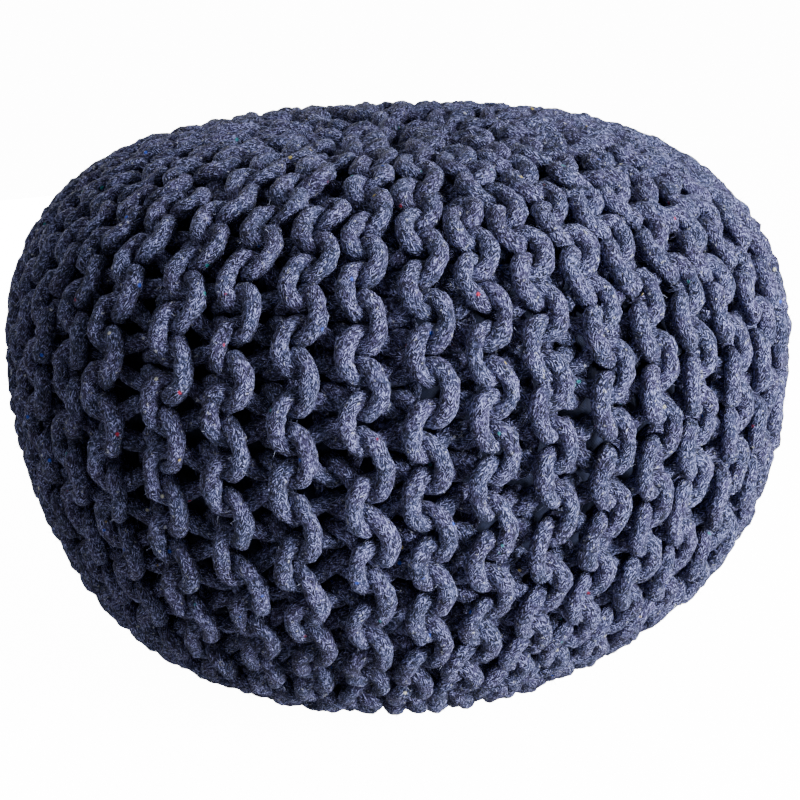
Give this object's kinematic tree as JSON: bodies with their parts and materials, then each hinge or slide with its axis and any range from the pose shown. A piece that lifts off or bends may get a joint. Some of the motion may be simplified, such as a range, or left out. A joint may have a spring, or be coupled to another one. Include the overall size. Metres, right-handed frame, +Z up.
{
  "type": "knitted pouf",
  "caption": "Round floor pouf: a thick garter-stitch cord cover, drawn in at top and bottom over a filled cloth casing, resting on a small flat base.",
  "frame": {"origin": "on the resting surface, under the middle of the widest ring", "axes": "+Z up, front faces -Y, +X to the right seen from the front"},
  "size_m": [0.5018, 0.4983, 0.3585],
  "materials": {
    "navy_cord": "matte braided cotton cord with a fine fibre texture",
    "navy_casing_cloth": "plain matte woven cloth"
  },
  "bodies": {
    "root": {"knitted_cover": "navy_cord", "top_gather_cord": "navy_cord", "bottom_gather_cord": "navy_cord", "inner_casing": "navy_casing_cloth"}
  },
  "joints": []
}
